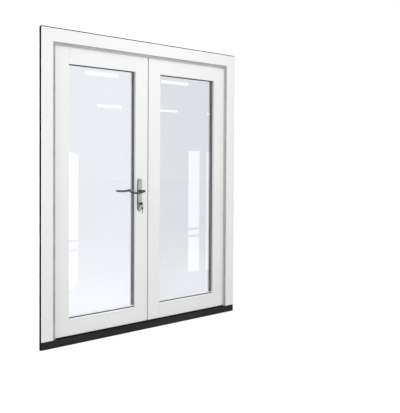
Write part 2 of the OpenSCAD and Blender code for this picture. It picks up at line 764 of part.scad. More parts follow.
module backplate(y) {
    end = plate_l / 2 - backplate_w / 2;
    block([lock_x - backplate_w / 2, lock_x + backplate_w / 2], y, [plate_mid - end, plate_mid + end]);
    for (z = [plate_mid - end, plate_mid + end]) bar_y(lock_x, y, z, backplate_w / 2);
}
module backplate_holes(y) {
    bar_y(lock_x, [y[0] - beyond, y[1] + beyond], handle_z, neck_r + fit);
    euro([y[0] - beyond, y[1] + beyond], 0.1);
}
module backplate_outside() {
    y = [leaf_y - backplate_t, leaf_y];
    color("silver") difference() {
        backplate(y);
        backplate_holes(y);
        for (z = [screw_up, screw_low]) bar_y(lock_x, [y[0] + 2.5, y[1] + beyond], z, handle_screw_r + snug);
    }
}
module backplate_inside() {
    y = [leaf_back, leaf_back + backplate_t];
    color("silver") difference() {
        backplate(y);
        backplate_holes(y);
        for (z = [screw_up, screw_low]) handle_screw(z, snug);
    }
}
module handle_screw(z, grow = 0) {
    head_h = 3;
    head_r = 4.6;
    end = leaf_back + backplate_t;
    bar_y(lock_x, [leaf_y - backplate_t + 3, end], z, handle_screw_r + grow);
    translate([lock_x, end - head_h, z]) rotate([-90, 0, 0])
        cylinder(h = head_h, r1 = handle_screw_r + grow, r2 = head_r + grow);
}
module handle_screws() { color("silver") for (z = [screw_up, screw_low]) handle_screw(z); }

// the lever arm runs through four places, given from the spindle to the tip as
// shares of its length, with its drop, its step outwards and its radius
lever_path = [[0, 0, 0, neck_r], [0.27, -11, 2, 6.5], [0.7, -9, 1, 5.5], [0.96, -1, -3, 5.2]];

module lever(socket_y) {
    difference() {
        union() {
            bar_y(lock_x, [arm_y, leaf_y - 1], handle_z, neck_r);
            for (k = [0 : 2]) hull() for (p = [lever_path[k], lever_path[k + 1]])
                translate([lock_x - p[0] * lever_l, arm_y - p[2], handle_z + p[1]])
                    sphere(r = p[3], $fn = 28);
        }
        square_hole(socket_y, 0.05);
    }
}
module lever_outside() { color([0.35, 0.35, 0.37]) lever([arm_y + 12, leaf_y]); }
module lever_inside() {
    color([0.35, 0.35, 0.37]) translate([0, 2 * mid_y, 0]) mirror([0, 1, 0]) lever([arm_y + 12, leaf_y]);
}
module spindle() {
    half = spindle_w / 2;
    color("gray") block([lock_x - half, lock_x + half],
        [arm_y + 12, 2 * mid_y - arm_y - 12], [handle_z - half, handle_z + half]);
}

// ---- passive leaf ----

module passive_meeting_stile() {
    color("white") passive() difference() {
        meeting_stile();
        strike_body();
        deadbolt_hole([leaf_in - deadbolt_throw - 8, leaf_in]);
        for (z = flush_z()) {
            block([leaf_in - face_t, leaf_in + beyond], groove_y, z);
            block([leaf_in - groove_d, leaf_in], groove_y, z);
        }
        both_ends_open();
    }
}
// the flush bolts run out of the leaf at both ends
module both_ends_open() {
    bar_z(bolt_x, mid_y, [leaf_bot - beyond, leaf_bot + flush_l / 2], bolt_r + slip);
    bar_z(bolt_x, mid_y, [leaf_top - flush_l / 2, leaf_top + beyond], bolt_r + slip);
}
function flush_z() = [[leaf_bot + 1, leaf_bot + flush_l], [leaf_top - flush_l, leaf_top - 1]];

module strike_body() {
    block([leaf_in - face_t, leaf_in], groove_y, [case_z[0] - 6, case_z[1] + 2]);
}
module strike_plate() {
    color("silver") passive() difference() {
        strike_body();
        deadbolt_hole([leaf_in - face_t - beyond, leaf_in + beyond]);
    }
}

function knob_z(top) = top ? [leaf_top - flush_l + knob_from, leaf_top - flush_l + knob_from + knob_h]
    : [leaf_bot + flush_l - knob_from - knob_h, leaf_bot + flush_l - knob_from];

module flush_bolt_plates() {
    half = knob_w / 2 + slip;
    color("silver") passive() difference() {
        for (z = flush_z()) block([leaf_in - face_t, leaf_in], groove_y, z);
        block([leaf_in - face_t - beyond, leaf_in + beyond], [mid_y - half, mid_y + half],
            [knob_z(true)[0] - slip, knob_z(true)[1] + bolt_travel + 1]);
        block([leaf_in - face_t - beyond, leaf_in + beyond], [mid_y - half, mid_y + half],
            [knob_z(false)[0] - bolt_travel - 1, knob_z(false)[1] + slip]);
    }
}
module flush_bolt(z, knob) {
    bar_z(bolt_x, mid_y, z, bolt_r);
    block([bolt_x, leaf_in - slip], [mid_y - knob_w / 2, mid_y + knob_w / 2], knob);
}
module passive_top_bolt() {
    color("silver") passive() flush_bolt([leaf_top - flush_l + 25, leaf_top - slip], knob_z(true));
}
module passive_bottom_bolt() {
    color("silver") passive() flush_bolt([leaf_bot + slip, leaf_bot + flush_l - 25], knob_z(false));
}

jamb_left();
jamb_right();
head();
sill_nosing();
sill_base();
frame_seal();
perimeter_tape();
bolt_keeps();
frame_hinge_leaves();
hinge_pins();
frame_hinge_screws();
active_hinge_stile();
active_lock_stile();
active_top_rail();
active_bottom_rail();
active_panes();
active_spacer();
active_glazing_seals();
active_setting_blocks();
active_beads();
active_weather_bead();
active_bottom_seal();
active_hinge_leaves();
active_hinge_screws();
meeting_seal();
lock_case();
lock_cover();
lock_faceplate();
cylinder_body();
backplate_outside();
backplate_inside();
handle_screws();
lever_outside();
lever_inside();
spindle();
lock_pinion();
upper_rod();
lower_rod();
deadbolt();
cylinder_plug();
key();
key_ring();
spare_key();
passive_hinge_stile();
passive_meeting_stile();
passive_top_rail();
passive_bottom_rail();
passive_panes();
passive_spacer();
passive_glazing_seals();
passive_setting_blocks();
passive_beads();
passive_weather_bead();
passive_bottom_seal();
passive_hinge_leaves();
passive_hinge_screws();
strike_plate();
flush_bolt_plates();
passive_top_bolt();
passive_bottom_bolt();
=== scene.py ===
import json
import math
import bpy
from mathutils import Matrix, Vector, noise


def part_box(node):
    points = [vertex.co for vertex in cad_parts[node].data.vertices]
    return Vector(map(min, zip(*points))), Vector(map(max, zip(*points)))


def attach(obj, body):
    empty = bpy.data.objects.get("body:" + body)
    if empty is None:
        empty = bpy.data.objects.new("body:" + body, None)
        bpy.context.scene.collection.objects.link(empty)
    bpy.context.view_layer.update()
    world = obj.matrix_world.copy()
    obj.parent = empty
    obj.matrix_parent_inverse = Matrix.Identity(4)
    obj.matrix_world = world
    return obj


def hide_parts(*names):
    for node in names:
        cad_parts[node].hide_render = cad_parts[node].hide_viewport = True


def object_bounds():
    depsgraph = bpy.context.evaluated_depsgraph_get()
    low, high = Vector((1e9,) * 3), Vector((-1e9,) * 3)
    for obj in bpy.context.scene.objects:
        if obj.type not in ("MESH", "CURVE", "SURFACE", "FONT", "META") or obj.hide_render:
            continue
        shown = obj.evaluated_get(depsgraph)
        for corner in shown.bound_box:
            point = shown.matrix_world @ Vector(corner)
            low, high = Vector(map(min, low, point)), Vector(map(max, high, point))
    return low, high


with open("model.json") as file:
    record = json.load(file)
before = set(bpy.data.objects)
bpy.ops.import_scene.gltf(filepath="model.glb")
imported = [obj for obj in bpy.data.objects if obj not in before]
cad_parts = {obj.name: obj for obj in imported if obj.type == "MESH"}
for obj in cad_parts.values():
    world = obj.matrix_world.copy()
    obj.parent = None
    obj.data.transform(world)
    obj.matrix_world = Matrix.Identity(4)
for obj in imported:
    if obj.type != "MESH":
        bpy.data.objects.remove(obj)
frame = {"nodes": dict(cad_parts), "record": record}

cadLow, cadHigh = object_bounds()      # the size of the model before anything is added
scene = bpy.context.scene
bodyOf = {node: body for body, nodes in frame["record"]["behaviour"]["bodies"].items() for node in nodes}

cameraSetup = {"place": (-3.200, -3.928, 1.230), "turn": 43.69, "tilt": 1.33, "roll": 0.32,
               "lens": 59.75, "sensor": 36.0, "lift": -0.0705, "farthest": 60}


def makeCamera():
    turn, tilt, roll = (math.radians(cameraSetup[k]) for k in ("turn", "tilt", "roll"))
    side = Vector((math.cos(turn), -math.sin(turn), 0))
    ahead = Vector((math.sin(turn), math.cos(turn), 0))
    up = Vector((0, 0, 1))
    look = ahead * math.cos(tilt) - up * math.sin(tilt)
    top = up * math.cos(tilt) + ahead * math.sin(tilt)
    right = side * math.cos(roll) + top * math.sin(roll)
    upright = top * math.cos(roll) - side * math.sin(roll)
    bpy.ops.object.camera_add(location=cameraSetup["place"],
                              rotation=Matrix((right, upright, -look)).transposed().to_euler())
    camera = bpy.context.object
    camera.data.lens = cameraSetup["lens"]
    camera.data.sensor_width = cameraSetup["sensor"]
    camera.data.shift_y = cameraSetup["lift"]
    camera.data.clip_end = cameraSetup["farthest"]
    scene.camera = camera


makeCamera()
scene.view_settings.view_transform = "Standard"
print("camera set")


def newFinish(name, tone, roughness, metal=0.0):
    finish = bpy.data.materials.new(name)
    finish.use_nodes = True
    shader = finish.node_tree.nodes["Principled BSDF"]
    shader.inputs["Base Color"].default_value = (*tone, 1)
    shader.inputs["Roughness"].default_value = roughness
    shader.inputs["Metallic"].default_value = metal
    return finish, finish.node_tree, shader


def placeNode(tree, scale=(1, 1, 1)):
    where = tree.nodes.new("ShaderNodeTexCoord")
    mapping = tree.nodes.new("ShaderNodeMapping")
    mapping.inputs["Scale"].default_value = scale
    tree.links.new(where.outputs["Object"], mapping.inputs["Vector"])
    return mapping.outputs["Vector"]


def cloud(tree, vector, scale, detail=3.0, rough=0.5):
    node = tree.nodes.new("ShaderNodeTexNoise")
    node.inputs["Scale"].default_value = scale
    node.inputs["Detail"].default_value = detail
    node.inputs["Roughness"].default_value = rough
    tree.links.new(vector, node.inputs["Vector"])
    return node.outputs["Fac"]


def spread(tree, value, low, high, start=0.3, end=0.7):
    node = tree.nodes.new("ShaderNodeMapRange")
    node.inputs["From Min"].default_value = start
    node.inputs["From Max"].default_value = end
    node.inputs["To Min"].default_value = low
    node.inputs["To Max"].default_value = high
    tree.links.new(value, node.inputs["Value"])
    return node.outputs["Result"]


def blendTone(tree, value, first, second):
    node = tree.nodes.new("ShaderNodeMix")
    node.data_type = "RGBA"
    for socket, tone in ((node.inputs["A"], first), (node.inputs["B"], second)):
        if isinstance(tone, tuple):
            socket.default_value = (*tone, 1)
        else:
            tree.links.new(tone, socket)
    tree.links.new(value, node.inputs["Factor"])
    return node.outputs["Result"]


def swap(tree, place, axis, edges, first, second):      # one tone before a plane, another past it
    along = tree.nodes.new("ShaderNodeSeparateXYZ")
    tree.links.new(place, along.inputs["Vector"])
    return blendTone(tree, spread(tree, along.outputs[axis], 0, 1, *edges), first, second)


def relief(tree, shader, height, strength, depth):
    node = tree.nodes.new("ShaderNodeBump")
    node.inputs["Strength"].default_value = strength
    node.inputs["Distance"].default_value = depth
    tree.links.new(height, node.inputs["Height"])
    tree.links.new(node.outputs["Normal"], shader.inputs["Normal"])


paintLook = {"tone": (0.84, 0.84, 0.84), "shade": (0.815, 0.815, 0.815), "roughness": (0.34, 0.46),
             "patches": 3.0, "brush": 260, "alongBrush": 9, "brushDepth": 0.00012, "brushStrength": 0.35,
             "coat": 0.15, "coatRoughness": 0.25,
             # the painted shadow line along the bead: its tone, its two heights from the bead's top, and how
             # soft its edges are
             "beadShadowTone": (0.004, 0.004, 0.004), "beadShadowHeights": (-0.0022, 0.0046), "beadShadowEdge": 0.0004}
brushUpright = (paintLook["brush"], paintLook["brush"], paintLook["alongBrush"])
brushLevel = (paintLook["alongBrush"], paintLook["brush"], paintLook["brush"])


def paintedTimber(name, stretch, paintedShadowBand=None):
    finish, tree, shader = newFinish(name, paintLook["tone"], 0.4)
    even = placeNode(tree)
    brushed = placeNode(tree, stretch)
    soft = cloud(tree, even, paintLook["patches"], 2.0)
    brush = cloud(tree, brushed, 1.0, 4.0, 0.6)
    colour = blendTone(tree, spread(tree, soft, 0, 1), paintLook["tone"], paintLook["shade"])
    if paintedShadowBand:      # painted shadow: a black line is painted along the bead between two heights
        low, high = paintedShadowBand
        soften = paintLook["beadShadowEdge"]
        lower = swap(tree, even, "Z", (low, low + soften), colour, paintLook["beadShadowTone"])
        colour = swap(tree, even, "Z", (high, high + soften), lower, colour)
    tree.links.new(colour, shader.inputs["Base Color"])
    tree.links.new(spread(tree, brush, *paintLook["roughness"]), shader.inputs["Roughness"])
    relief(tree, shader, brush, paintLook["brushStrength"], paintLook["brushDepth"])
    shader.inputs["Coat Weight"].default_value = paintLook["coat"]
    shader.inputs["Coat Roughness"].default_value = paintLook["coatRoughness"]
    return finish


rubberLook = {"grain": 420, "grainDepth": 0.0002, "smear": 9, "paler": 1.35, "lift": 0.004, "uneven": 0.08,
              # the wedge seal is black behind this depth, where it lies on the timber; in front of it, in
              # the groove, its mid-gray is painted shade
              "wedgeBack": -0.0295, "wedgeEdge": 0.0005}


def softRubber(name, tone, roughness, behindTone=None):
    finish, tree, shader = newFinish(name, tone, roughness)
    place = placeNode(tree)
    grain = cloud(tree, place, rubberLook["grain"], 2.0)
    smear = cloud(tree, place, rubberLook["smear"], 3.0)
    lighter = tuple(min(1, c * rubberLook["paler"] + rubberLook["lift"]) for c in tone)
    colour = blendTone(tree, spread(tree, smear, 0, 1), tone, lighter)
    # painted shade: the tone in front of the split stands for the groove's shade, and behind it the seal is
    # black
    if behindTone:
        split = rubberLook["wedgeBack"]
        colour = swap(tree, place, "Y", (split, split + rubberLook["wedgeEdge"]), colour, behindTone)
    tree.links.new(colour, shader.inputs["Base Color"])
    uneven = rubberLook["uneven"]
    tree.links.new(spread(tree, smear, roughness - uneven, roughness + uneven), shader.inputs["Roughness"])
    relief(tree, shader, grain, 0.3, rubberLook["grainDepth"])
    return finish


foamLook = {"tone": (0.006, 0.006, 0.006), "dark": (0.004, 0.004, 0.004), "pale": (0.016, 0.016, 0.016),
            "roughness": 0.95, "gleam": 0.15, "cells": 420, "cellDepth": 0.0008, "lumps": 60}


def foamTape(name):
    finish, tree, shader = newFinish(name, foamLook["tone"], foamLook["roughness"])
    place = placeNode(tree)
    cells = tree.nodes.new("ShaderNodeTexVoronoi")
    cells.inputs["Scale"].default_value = foamLook["cells"]
    tree.links.new(place, cells.inputs["Vector"])
    lumps = cloud(tree, place, foamLook["lumps"], 3.0)
    tree.links.new(blendTone(tree, spread(tree, lumps, 0, 1), foamLook["dark"], foamLook["pale"]),
                   shader.inputs["Base Color"])
    relief(tree, shader, cells.outputs["Distance"], 0.7, foamLook["cellDepth"])
    shader.inputs["Specular IOR Level"].default_value = foamLook["gleam"]
    return finish


sillLook = {"roughness": 0.5, "pits": 900, "pitDepth": 0.0004, "streaks": (2, 60, 60),
            # the painted shadow on the top: its tone, its dull gleam, and how far under the top it starts
            # and is full
            "topShadowTone": (0.0015, 0.0015, 0.0015), "topShadowGleam": 0.05, "topShadowStart": 0.002, "topShadowFull": 0.0005}


def texturedSill(name, tone, lighter, fleck, shadowAbove=None):
    finish, tree, shader = newFinish(name, tone, sillLook["roughness"])
    place = placeNode(tree)
    pits = cloud(tree, place, sillLook["pits"], 2.0, 0.7)
    streaks = cloud(tree, placeNode(tree, sillLook["streaks"]), 1.0, 4.0)
    colour = blendTone(tree, spread(tree, streaks, 0, 1), tone, lighter)
    if shadowAbove:      # painted shadow: the top is blackened where the leaves close on it, standing for the shade of the gap under them
        edges = (shadowAbove - sillLook["topShadowStart"], shadowAbove - sillLook["topShadowFull"])
        colour = swap(tree, place, "Z", edges, colour, sillLook["topShadowTone"])
        shader.inputs["Specular IOR Level"].default_value = sillLook["topShadowGleam"]
    tree.links.new(colour, shader.inputs["Base Color"])
    roughness = sillLook["roughness"]
    tree.links.new(spread(tree, pits, roughness - fleck, roughness + fleck), shader.inputs["Roughness"])
    relief(tree, shader, pits, 0.5, sillLook["pitDepth"])
    return finish


metalLook = {"wear": 55, "worn": 0.86, "smoothest": 0.8, "roughest": 1.25, "lineStrength": 0.25,
             # the plates' sides, painted dark as the dark reflection they show: its tone, how far it reaches
             # under each plate, how soft its edge is
             "sideReflectionTone": (0.012, 0.012, 0.012), "sideReflectionStart": 0.0022, "sideReflectionEdge": 0.0002}


def brushedMetal(name, tone, roughness, stretch, depth=0.00003, darkSideReflection=None):
    finish, tree, shader = newFinish(name, tone, roughness, 1.0)
    lines = cloud(tree, placeNode(tree, stretch), 1.0, 3.0, 0.6)
    wear = cloud(tree, placeNode(tree), metalLook["wear"], 3.0)
    worn = tuple(c * metalLook["worn"] for c in tone)
    colour = blendTone(tree, spread(tree, wear, 0, 1), tone, worn)
    if darkSideReflection:      # painted reflection: the plates' sides are dark between these two depths, standing for the dark reflection their sides show
        place = placeNode(tree)
        front, back = darkSideReflection
        soften = metalLook["sideReflectionEdge"]
        inner = swap(tree, place, "Y", (back - soften, back), metalLook["sideReflectionTone"], colour)
        colour = swap(tree, place, "Y", (front, front + soften), colour, inner)
    tree.links.new(colour, shader.inputs["Base Color"])
    smoothest, roughest = (roughness * metalLook[k] for k in ("smoothest", "roughest"))
    tree.links.new(spread(tree, lines, smoothest, roughest), shader.inputs["Roughness"])
    relief(tree, shader, lines, metalLook["lineStrength"], depth)
    return finish


plasticLook = {"grain": 600, "grainDepth": 0.00015, "flow": 20, "darker": 0.85}


def mouldedPlastic(name, tone, roughness):
    finish, tree, shader = newFinish(name, tone, roughness)
    place = placeNode(tree)
    grain = cloud(tree, place, plasticLook["grain"], 2.0)
    flow = cloud(tree, place, plasticLook["flow"], 2.0)
    darker = tuple(c * plasticLook["darker"] for c in tone)
    tree.links.new(blendTone(tree, spread(tree, flow, 0, 1), tone, darker), shader.inputs["Base Color"])
    relief(tree, shader, grain, 0.2, plasticLook["grainDepth"])
    return finish


glassLook = {"tint": (0.952, 0.958, 0.970), "waves": 1.6, "darker": 0.995, "gleam": (1.0, 1.0, 1.0),
             # how much is mirrored face on and edge on, and how steeply it grows between them
             "faceOn": 0.045, "edgeOn": 0.9, "steepness": 4.0}


def floatGlass(name):
    finish = bpy.data.materials.new(name)
    finish.use_nodes = True
    tree = finish.node_tree
    tree.nodes.remove(tree.nodes["Principled BSDF"])
    clear = tree.nodes.new("ShaderNodeBsdfTransparent")
    gloss = tree.nodes.new("ShaderNodeBsdfGlossy")
    gloss.inputs["Color"].default_value = (*glassLook["gleam"], 1)
    gloss.inputs["Roughness"].default_value = 0.0
    turned = tree.nodes.new("ShaderNodeLayerWeight")
    turned.inputs["Blend"].default_value = 0.5
    steep = tree.nodes.new("ShaderNodeMath")
    steep.operation = "POWER"
    steep.inputs[1].default_value = glassLook["steepness"]
    tree.links.new(turned.outputs["Facing"], steep.inputs[0])
    share = spread(tree, steep.outputs[0], glassLook["faceOn"], glassLook["edgeOn"], 0, 1)
    waves = cloud(tree, placeNode(tree), glassLook["waves"], 2.0)
    tintMix = blendTone(tree, spread(tree, waves, 0, 1), glassLook["tint"],
                        tuple(c * glassLook["darker"] for c in glassLook["tint"]))
    tree.links.new(tintMix, clear.inputs["Color"])
    mix = tree.nodes.new("ShaderNodeMixShader")
    tree.links.new(share, mix.inputs[0])
    tree.links.new(clear.outputs[0], mix.inputs[1])
    tree.links.new(gloss.outputs[0], mix.inputs[2])
    tree.links.new(mix.outputs[0], tree.nodes["Material Output"].inputs["Surface"])
    return finish


plateLow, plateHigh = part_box("backplate_outside")
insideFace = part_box("backplate_inside")[1].y
# the depths between which the plates' sides are painted dark as reflection
sideReflectionDepths = (plateLow.y + metalLook["sideReflectionStart"], insideFace - metalLook["sideReflectionStart"])
# the bead's painted shadow line, as two heights on the bead
beadShadowLine = [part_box("active_weather_bead")[1].z + height for height in paintLook["beadShadowHeights"]]

finishes = {
    "uprightPaint": paintedTimber("uprightPaint", brushUpright),
    "levelPaint": paintedTimber("levelPaint", brushLevel),
    "beadPaint": paintedTimber("beadPaint", brushLevel, beadShadowLine),
    # the nosing's top is painted black as the shadow of the gap under the leaves
    "sillDark": texturedSill("sillDark", (0.020, 0.020, 0.021), (0.036, 0.036, 0.038), 0.12,
                             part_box("sill_nosing")[1].z),
    "sillPale": texturedSill("sillPale", (0.84, 0.84, 0.83), (0.8, 0.8, 0.79), 0.08),
    "tape": foamTape("tapeFoam"),
    "blackSeal": softRubber("blackSeal", (0.004, 0.004, 0.0045), 0.7),
    # the frame seal's mid-gray in the groove is painted shade
    "wedgeSealPaintedShade": softRubber("wedgeSealPaintedShade", (0.33, 0.33, 0.33), 0.6, (0.02, 0.02, 0.02)),
    "paleSeal": softRubber("paleSeal", (0.62, 0.62, 0.62), 0.5),
    "glass": floatGlass("floatGlass"),
    "spacer": mouldedPlastic("spacerStrip", (0.42, 0.42, 0.43), 0.5),
    "blocks": mouldedPlastic("blockPlastic", (0.05, 0.12, 0.32), 0.4),
    "plateSteel": brushedMetal("plateSteel", (0.70, 0.70, 0.71), 0.28, (900, 900, 30), darkSideReflection=sideReflectionDepths),
    "leverSteel": brushedMetal("leverSteel", (0.15, 0.15, 0.155), 0.2, (60, 500, 500), 0.00002),
    "hingeSteel": brushedMetal("hingeSteel", (0.62, 0.62, 0.63), 0.34, (700, 700, 60)),
    "zincSteel": brushedMetal("zincSteel", (0.62, 0.63, 0.66), 0.38, (500, 500, 40)),
    "nickel": brushedMetal("nickel", (0.42, 0.41, 0.38), 0.24, (300, 300, 300)),
    "keySteel": brushedMetal("keySteel", (0.13, 0.13, 0.13), 0.26, (300, 900, 60)),
}
print("finishes ready:", len(finishes))


def selectNothing():
    for other in bpy.context.selected_objects:
        other.select_set(False)


def only(piece):
    selectNothing()
    piece.select_set(True)
    bpy.context.view_layer.objects.active = piece


def dress(piece, finish, body):
    piece.data.materials.clear()
    piece.data.materials.append(finishes[finish])
    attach(piece, body)
    return piece


copyCleaning = {"merge": 0.00001, "flat": 0.4}      # a distance and an angle in degrees


def takeCopy(nodeName, pieceName):
    piece = bpy.data.objects.new(pieceName, frame["nodes"][nodeName].data.copy())
    scene.collection.objects.link(piece)
    only(piece)
    bpy.ops.object.mode_set(mode="EDIT")
    bpy.ops.mesh.select_all(action="SELECT")
    bpy.ops.mesh.customdata_custom_splitnormals_clear()
    bpy.ops.mesh.remove_doubles(threshold=copyCleaning["merge"])
    bpy.ops.mesh.dissolve_limited(angle_limit=math.radians(copyCleaning["flat"]))
    bpy.ops.mesh.select_all(action="DESELECT")
    bpy.ops.object.mode_set(mode="OBJECT")
    return piece


def sharpEdges(piece, least=0.35):
    faces = {}
    for face in piece.data.polygons:
        for key in face.edge_keys:
            faces.setdefault(key, []).append(face.normal)
    return [e for e in piece.data.edges
            if len(faces.get(e.key, [])) == 2 and faces[e.key][0].angle(faces[e.key][1], 0) > least]


def pickEdges(piece, findEdges, wanted):      # selects the edges that are wanted by the places of their ends
    only(piece)
    bpy.ops.object.mode_set(mode="EDIT")
    bpy.ops.mesh.select_mode(type="EDGE")
    bpy.ops.mesh.select_all(action="DESELECT")
    bpy.ops.object.mode_set(mode="OBJECT")
    places = piece.data.vertices
    picked = [edge for edge in findEdges(piece) if wanted(*(places[i].co for i in edge.vertices))]
    for edge in picked:
        edge.select = True
    return len(picked)


def roundEdges(piece, wanted, width, steps=2):
    if pickEdges(piece, sharpEdges, wanted):
        bpy.ops.object.mode_set(mode="EDIT")
        bpy.ops.mesh.bevel(offset=width, offset_pct=0, segments=steps, profile=0.5, affect="EDGES",
                           clamp_overlap=True)
        bpy.ops.mesh.select_all(action="DESELECT")
        bpy.ops.object.mode_set(mode="OBJECT")


def settle(piece, angle=38):
    only(piece)
    bpy.ops.object.shade_smooth_by_angle(angle=math.radians(angle))
    modifier = piece.modifiers.new("evenNormals", "WEIGHTED_NORMAL")
    modifier.keep_sharp = True
    bpy.ops.object.modifier_apply(modifier=modifier.name)


def near(a, b, reach=0.0002):
    return abs(a - b) < reach


def longerThan(least):
    return lambda a, b: (a - b).length > least


timberSoftening = {"front": 0.0018, "back": 0.0025, "joint": 0.0022, "shortest": 0.05, "frontDepth": 0.02}


def softTimber(nodeName, grain, jointSides=()):
    piece = takeCopy(nodeName, nodeName + "Painted")
    low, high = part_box(nodeName)
    longEnough = longerThan(timberSoftening["shortest"])
    frontEnd = low.y + timberSoftening["frontDepth"]

    def longAt(a, b):      # level and upright edges only: the mitres stay closed
        return longEnough(a, b) and near(a.y, b.y) and (near(a.x, b.x) or near(a.z, b.z))

    def atJoint(a, b):
        return any(near(a.x, s) and near(b.x, s) for s in jointSides)

    roundEdges(piece, lambda a, b: longAt(a, b) and a.y < frontEnd and not atJoint(a, b),
               timberSoftening["front"])
    roundEdges(piece, lambda a, b: longAt(a, b) and near(a.y, high.y) and not atJoint(a, b),
               timberSoftening["back"])
    if jointSides:
        roundEdges(piece, lambda a, b: longAt(a, b) and near(a.y, low.y) and atJoint(a, b),
                   timberSoftening["joint"])
    settle(piece)
    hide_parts(nodeName)
    return dress(piece, grain, bodyOf[nodeName])


# the bead's back edge, within this height and depth of its corner, is drawn up over the seal
beadShape = {"fillet": 0.011, "height": 0.004, "depth": 0.003}


def weatherBead(leaf):
    piece = softTimber(leaf + "_weather_bead", "beadPaint")
    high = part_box(leaf + "_weather_bead")[1]
    for vertex in piece.data.vertices:
        if vertex.co.z > high.z - beadShape["height"] and vertex.co.y > high.y - beadShape["depth"]:
            vertex.co.z += beadShape["fillet"]


for nodeName in ("jamb_left", "jamb_right"):
    softTimber(nodeName, "uprightPaint")
softTimber("head", "levelPaint")
for leaf in ("active", "passive"):
    meeting = "active_lock_stile" if leaf == "active" else "passive_meeting_stile"
    hingeLow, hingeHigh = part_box(leaf + "_hinge_stile")
    meetLow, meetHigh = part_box(meeting)
    inner = (hingeHigh.x, meetLow.x) if leaf == "active" else (hingeLow.x, meetHigh.x)
    softTimber(leaf + "_hinge_stile", "uprightPaint")
    softTimber(meeting, "uprightPaint")
    for rail in ("_top_rail", "_bottom_rail"):
        softTimber(leaf + rail, "levelPaint", inner)
    softTimber(leaf + "_beads", "uprightPaint")
    weatherBead(leaf)
print("timber softened")


def softSolid(nodeName, pieceName, finish, width, steps=2, wanted=lambda a, b: True, angle=38):
    piece = takeCopy(nodeName, pieceName)
    roundEdges(piece, wanted, width, steps)
    settle(piece, angle)
    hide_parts(nodeName)
    dress(piece, finish, bodyOf[nodeName])


sillSoftening = {"nosing": 0.001, "nosingEdge": 0.03, "base": 0.0012, "sideReflectionEdge": 0.08}

softSolid("sill_nosing", "sillNosing", "sillDark", sillSoftening["nosing"],
          wanted=longerThan(sillSoftening["nosingEdge"]))
softSolid("sill_base", "sillBase", "sillPale", sillSoftening["base"],
          wanted=longerThan(sillSoftening["sideReflectionEdge"]))

tapeShape = {"cuts": 150, "longest": 1.0, "wave": 0.0012, "sideWave": 0.8, "pitch": 9.0, "angle": 30}


def makeTape():
    piece = takeCopy("perimeter_tape", "sealingTape")
    low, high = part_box("perimeter_tape")
    middle = (low.y + high.y) / 2
    pickEdges(piece, lambda tape: tape.data.edges, longerThan(tapeShape["longest"]))
    bpy.ops.object.mode_set(mode="EDIT")
    bpy.ops.mesh.subdivide(number_cuts=tapeShape["cuts"])
    bpy.ops.mesh.select_all(action="DESELECT")
    bpy.ops.object.mode_set(mode="OBJECT")
    thick = high.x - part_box("jamb_right")[1].x
    for v in piece.data.vertices:
        lump = noise.noise(Vector((v.co.z, v.co.x, 0)) * tapeShape["pitch"])      # from -1 to 1
        wave = tapeShape["wave"] * (0.5 + 0.5 * lump)
        if abs(v.co.x) > high.x - thick / 2:
            v.co.x -= math.copysign(wave, v.co.x)
        if v.co.z > high.z - thick / 2:
            v.co.z -= wave
        inward = 1 if v.co.y < middle else -1
        v.co.y += tapeShape["sideWave"] * (wave - tapeShape["wave"] / 2) * inward
    settle(piece, tapeShape["angle"])
    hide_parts("perimeter_tape")
    dress(piece, "tape", "frame")


makeTape()
print("sill and tape made")

metalSoftening = {"plate": 0.0006, "bolt": 0.0008, "key": 0.0004, "hinge": 0.0005,
                  # the backplates' crowned rim: its width, its steps, how close to the rim an edge lies
                  "crown": 0.004, "crownSteps": 4, "crownReach": 0.0003, "crownAngle": 45}

for nodeName, pieceName, finish, slotName, width in [
        ("frame_hinge_leaves", "frameHinges", "hingeSteel", "hinge_steel", metalSoftening["hinge"]),
        ("active_hinge_leaves", "activeHinges", "hingeSteel", "hinge_steel", metalSoftening["hinge"]),
        ("passive_hinge_leaves", "passiveHinges", "hingeSteel", "hinge_steel", metalSoftening["hinge"]),
        ("hinge_pins", "hingePins", "hingeSteel", "hinge_steel", metalSoftening["plate"]),
        ("bolt_keeps", "boltKeeps", "zincSteel", "zinc_steel", metalSoftening["plate"]),
        ("lock_faceplate", "lockFaceplate", "zincSteel", "zinc_steel", metalSoftening["plate"]),
        ("strike_plate", "strikePlate", "zincSteel", "zinc_steel", metalSoftening["plate"]),
        ("flush_bolt_plates", "flushPlates", "zincSteel", "zinc_steel", metalSoftening["plate"]),
        ("deadbolt", "deadboltBar", "zincSteel", "zinc_steel", metalSoftening["bolt"]),
        ("cylinder_body", "cylinderCase", "nickel", "nickel", metalSoftening["key"]),
        ("cylinder_plug", "cylinderPlug", "nickel", "nickel", metalSoftening["key"]),
        ("key", "doorKey", "keySteel", "key_steel", metalSoftening["key"]),
        ("spare_key", "spareKey", "keySteel", "key_steel", metalSoftening["key"])]:
    softSolid(nodeName, pieceName, finish, width)

lockX = (plateLow.x + plateHigh.x) / 2
plateHalf = (plateHigh.x - plateLow.x) / 2


def onPlateRim(point, face):
    past = max(plateLow.z + plateHalf - point.z, point.z - plateHigh.z + plateHalf, 0)
    fromAxis = math.hypot(point.x - lockX, past)
    return near(point.y, face) and near(fromAxis, plateHalf, metalSoftening["crownReach"])


for nodeName, pieceName, face in [("backplate_outside", "backplateOutside", plateLow.y),
                                  ("backplate_inside", "backplateInside", insideFace)]:
    softSolid(nodeName, pieceName, "plateSteel", metalSoftening["crown"],
              metalSoftening["crownSteps"],
              lambda a, b, face=face: onPlateRim(a, face) and onPlateRim(b, face),
              metalSoftening["crownAngle"])
print("metalwork made")

